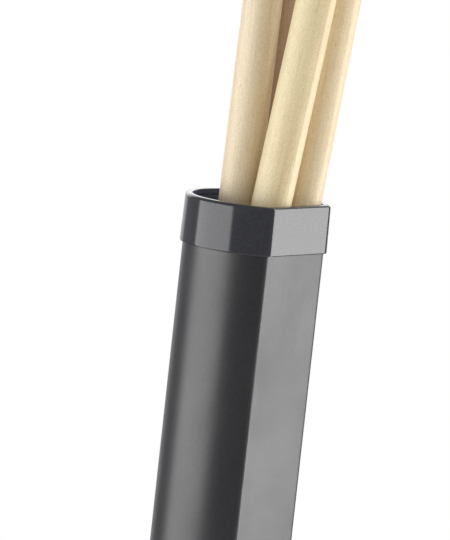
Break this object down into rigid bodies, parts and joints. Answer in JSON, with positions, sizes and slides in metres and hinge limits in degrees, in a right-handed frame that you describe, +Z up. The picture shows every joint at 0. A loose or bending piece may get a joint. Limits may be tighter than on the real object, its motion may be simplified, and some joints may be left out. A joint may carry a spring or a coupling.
{
  "type": "drumstick holder",
  "caption": "Clamp-on drumstick holder: a D-section tube with a collared mouth, holding sticks, tilts on a C-clamp that grips a stand pole.",
  "frame": {"origin": "on the axis of the stand pole that the clamp grips, at the clamp's mid-height", "axes": "+Z up along the pole, +X from the pole to the tube, in the plane that the tube tilts in"},
  "size_m": [0.2106, 0.0626, 0.42],
  "materials": {
    "tube": "satin black, fine powder-coat texture",
    "collar": "glossy black",
    "moulded": "moulded black with a fine spark texture",
    "pad": "matt black rubber",
    "foam": "dark grey closed-cell foam",
    "friction": "brown friction fibre",
    "steel": "zinc-plated steel",
    "brass": "turned brass",
    "stick_wood": "pale maple with a thin satin lacquer"
  },
  "bodies": {
    "clamp": {"clamp_body": "moulded", "screw_bush": "brass", "fixed_jaw_pad": "pad", "friction_disc_front": "friction", "friction_disc_rear": "friction"},
    "pressure_jaw": {"pressure_jaw": "moulded", "moving_jaw_pad": "pad", "screw_clip": "steel"},
    "clamp_screw": {"clamp_screw": "steel", "clamp_knob": "moulded"},
    "quiver": {"quiver_tube": "tube", "top_collar": "collar", "bottom_cap": "moulded", "stick_pad": "foam", "saddle_bracket": "moulded", "backing_plate": "steel", "saddle_screw_upper": "steel", "saddle_screw_lower": "steel", "saddle_nut_upper": "steel", "saddle_nut_lower": "steel", "tilt_bolt": "steel"},
    "tilt_washer": {"tilt_washer": "steel"},
    "tilt_knob": {"tilt_knob": "moulded", "knob_insert": "brass"},
    "stick_1": {"stick_1": "stick_wood"},
    "stick_2": {"stick_2": "stick_wood"},
    "stick_3": {"stick_3": "stick_wood"},
    "stick_4": {"stick_4": "stick_wood"}
  },
  "joints": [
    {"name": "tilt", "type": "hinge", "parent": "clamp", "child": "quiver", "pos_m": [0.026, 0, 0], "axis": [0, 1, 0], "range_deg": [-15, 22.5]},
    {"name": "clamp_screw_turn", "type": "hinge", "parent": "pressure_jaw", "child": "clamp_screw", "pos_m": [-0.045, 0, 0], "axis": [1, 0, 0], "range_deg": [-2448, 2160]},
    {"name": "jaw_slide", "type": "slide", "parent": "clamp", "child": "pressure_jaw", "axis": [1, 0, 0], "range_m": [-0.0085, 0.0075]},
    {"name": "tilt_knob_turn", "type": "hinge", "parent": "tilt_washer", "child": "tilt_knob", "pos_m": [0.026, -0.016, 0], "axis": [0, -1, 0], "range_deg": [0, 1080]},
    {"name": "tilt_knob_travel", "type": "slide", "parent": "quiver", "child": "tilt_washer", "axis": [0, -1, 0], "range_m": [0, 0.003]},
    {"name": "stick_1_pull", "type": "slide", "parent": "quiver", "child": "stick_1", "axis": [0.1623, -0.0185, 0.9866], "range_m": [0, 0.215]},
    {"name": "stick_2_pull", "type": "slide", "parent": "quiver", "child": "stick_2", "axis": [0.2337, 0.0387, 0.9715], "range_m": [0, 0.215]},
    {"name": "stick_3_pull", "type": "slide", "parent": "quiver", "child": "stick_3", "axis": [0.1779, 0.0834, 0.9805], "range_m": [0, 0.215]},
    {"name": "stick_4_pull", "type": "slide", "parent": "quiver", "child": "stick_4", "axis": [0.1273, -0.0026, 0.9919], "range_m": [0, 0.215]}
  ],
  "couplings": [
    {"joint": "jaw_slide", "follows": "clamp_screw_turn", "m_per_rad": 0.00019894},
    {"joint": "tilt_knob_travel", "follows": "tilt_knob_turn", "m_per_rad": 0.00015915}
  ]
}
